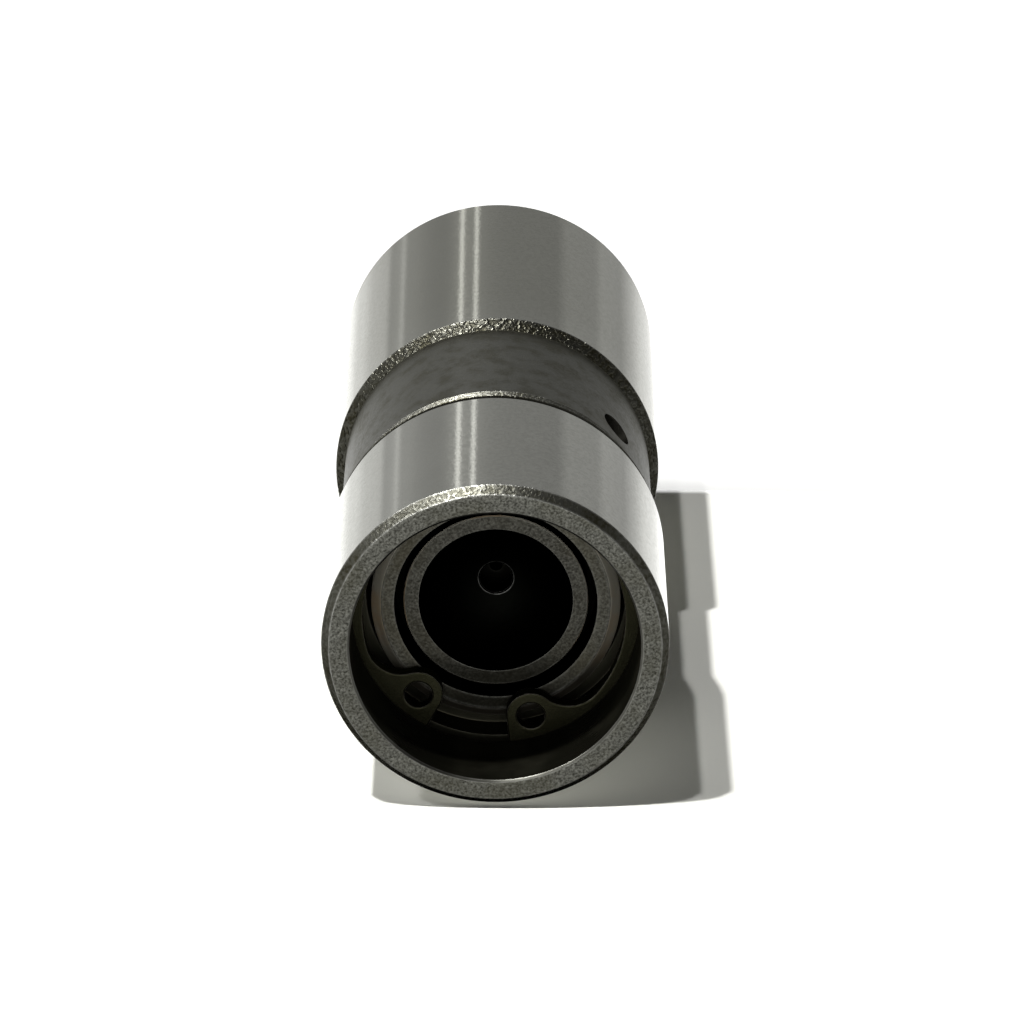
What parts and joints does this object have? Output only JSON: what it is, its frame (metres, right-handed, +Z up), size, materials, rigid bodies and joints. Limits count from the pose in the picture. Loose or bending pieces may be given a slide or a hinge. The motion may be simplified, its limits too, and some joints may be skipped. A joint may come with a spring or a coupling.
{
  "type": "mechanical valve lifter",
  "caption": "Flat-foot valve lifter: ground cylinder with an oil waist, a ball socket for the pushrod held by a snap ring, and a floating oil metering disc.",
  "frame": {"origin": "centre of the foot's underside", "axes": "+Z up the lifter's axis, from the foot to the open end"},
  "size_m": [0.0214, 0.0214, 0.0519],
  "materials": {
    "body_iron": "hardened iron, lands ground bright, waist and end face left dark",
    "seat_steel": "hardened steel, dark matt faces and a polished black-looking socket",
    "ring_steel": "spring steel with a dark olive phosphate coat",
    "disc_steel": "plain blanked spring steel"
  },
  "bodies": {
    "lifter": {"lifter_body": "body_iron", "retaining_ring": "ring_steel"},
    "seat": {"pushrod_seat": "seat_steel"},
    "disc": {"metering_disc": "disc_steel"}
  },
  "joints": [
    {"name": "seat_turn", "type": "hinge", "parent": "lifter", "child": "seat", "pos_m": [0, 0, 0.0393], "axis": [0, 0, 1], "continuous": true},
    {"name": "disc_lift", "type": "slide", "parent": "lifter", "child": "disc", "axis": [0, 0, 1], "range_m": [0, 0.0004]}
  ]
}
